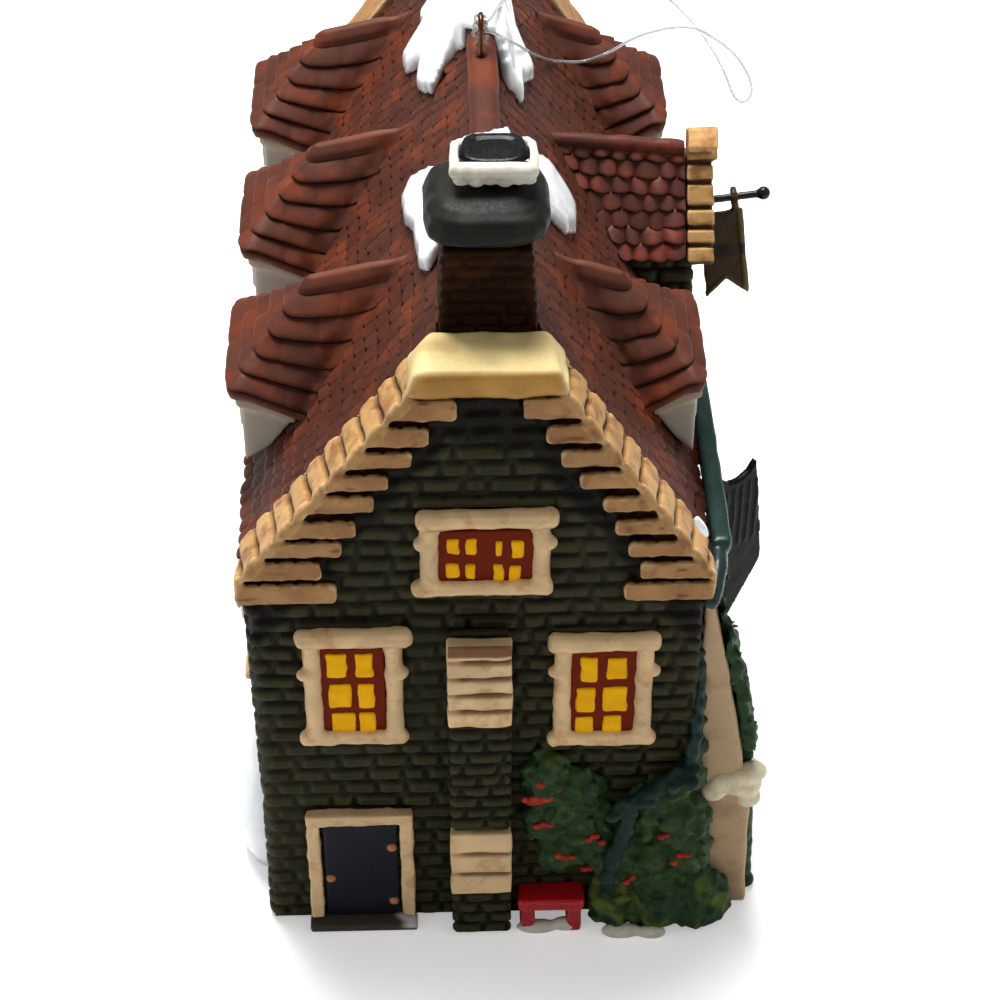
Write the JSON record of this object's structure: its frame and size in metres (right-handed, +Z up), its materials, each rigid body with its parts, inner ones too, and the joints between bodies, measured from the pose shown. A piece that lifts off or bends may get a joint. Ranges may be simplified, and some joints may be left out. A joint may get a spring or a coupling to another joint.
{
  "type": "village house ornament",
  "caption": "Painted porcelain brick house with stepped gable, snowy shingle roof, dormers, chimney, swinging banner, shield sign and wire hanger.",
  "frame": {"origin": "middle of the wall footprint at the underside", "axes": "+Z up, -Y out of the gable end with the stepped stones, +X out of the street front with the banner"},
  "size_m": [0.0633, 0.0939, 0.0945],
  "materials": {
    "brick_paint": "satin hand painted, dark olive brick with darker joints",
    "shingle_paint": "satin hand painted, maroon shingles with orange brown patches",
    "slate_paint": "satin hand painted, purple brown slates",
    "coping_paint": "satin hand painted, tan stone with a brown wash in the joints",
    "cap_stone_paint": "satin hand painted, cream stone",
    "stack_paint": "satin hand painted, dark brown brick",
    "grey_stone_paint": "satin, dark olive grey",
    "snow_glaze": "high gloss white glaze",
    "ledge_snow_paint": "satin cream white",
    "window_stone_paint": "satin pale stone",
    "pane_paint": "gloss yellow panes between red brown bars",
    "dark_wood_paint": "satin blue black",
    "bench_paint": "gloss red",
    "foliage_paint": "satin mixed greens",
    "buttress_paint": "satin tan stone",
    "gutter_paint": "satin dark teal",
    "dormer_wall_paint": "satin light grey render",
    "black_metal": "semi gloss black enamel",
    "sign_enamel": "semi gloss black enamel with a plain olive panel",
    "banner_paint": "satin dark bronze brown",
    "hanger_bronze": "darkened wire",
    "clear_nylon": "clear smooth monofilament"
  },
  "bodies": {
    "house": {"house_walls": "brick_paint", "pier": "brick_paint", "cross_gable_wall": "brick_paint", "roof_left": "shingle_paint", "roof_right": "shingle_paint", "ridge_tiles": "shingle_paint", "dormer_roof_left_1": "shingle_paint", "dormer_roof_left_2": "shingle_paint", "dormer_roof_left_3": "shingle_paint", "dormer_roof_right_1": "shingle_paint", "dormer_roof_right_2": "shingle_paint", "cross_gable_roof": "slate_paint", "front_coping_left": "coping_paint", "front_coping_right": "coping_paint", "rear_coping": "coping_paint", "cross_gable_coping": "coping_paint", "front_cap_stone": "cap_stone_paint", "chimney_stack": "stack_paint", "chimney_cap": "grey_stone_paint", "chimney_pot": "grey_stone_paint", "side_door_step": "grey_stone_paint", "pot_snow": "snow_glaze", "ridge_snow_front": "snow_glaze", "ridge_snow_rear": "snow_glaze", "snow_drift": "snow_glaze", "ledge_snow": "ledge_snow_paint", "left_window_frame": "window_stone_paint", "right_window_frame": "window_stone_paint", "upper_window_frame": "window_stone_paint", "side_door_frame": "window_stone_paint", "pier_upper_stones": "window_stone_paint", "pier_lower_stones": "window_stone_paint", "street_window_front": "window_stone_paint", "street_window_rear": "window_stone_paint", "shop_window_front": "window_stone_paint", "shop_window_rear": "window_stone_paint", "lane_window_front": "window_stone_paint", "lane_window_rear": "window_stone_paint", "left_window_sash": "pane_paint", "right_window_sash": "pane_paint", "upper_window_sash": "pane_paint", "side_door_leaf": "dark_wood_paint", "street_door": "dark_wood_paint", "garden_bench": "bench_paint", "climbing_plants": "foliage_paint", "buttress_ivy": "foliage_paint", "corner_buttress": "buttress_paint", "street_gutter": "gutter_paint", "dormer_left_1": "dormer_wall_paint", "dormer_left_2": "dormer_wall_paint", "dormer_left_3": "dormer_wall_paint", "dormer_right_1": "dormer_wall_paint", "dormer_right_2": "dormer_wall_paint", "banner_rod": "black_metal", "sign_pin": "black_metal", "hanger_wire": "hanger_bronze", "hanging_thread": "clear_nylon"},
    "banner": {"banner": "banner_paint"},
    "sign": {"shield_sign": "sign_enamel"}
  },
  "joints": [
    {"name": "banner_swing", "type": "hinge", "parent": "house", "child": "banner", "pos_m": [0.0261, 0.0058, 0.06252], "axis": [0.9913, 0, 0.1315], "range_deg": [-35, 35]},
    {"name": "sign_swing", "type": "hinge", "parent": "house", "child": "sign", "pos_m": [0.0245, -0.0265, 0.0391], "axis": [0, 0, 1], "range_deg": [-45, 30]}
  ]
}
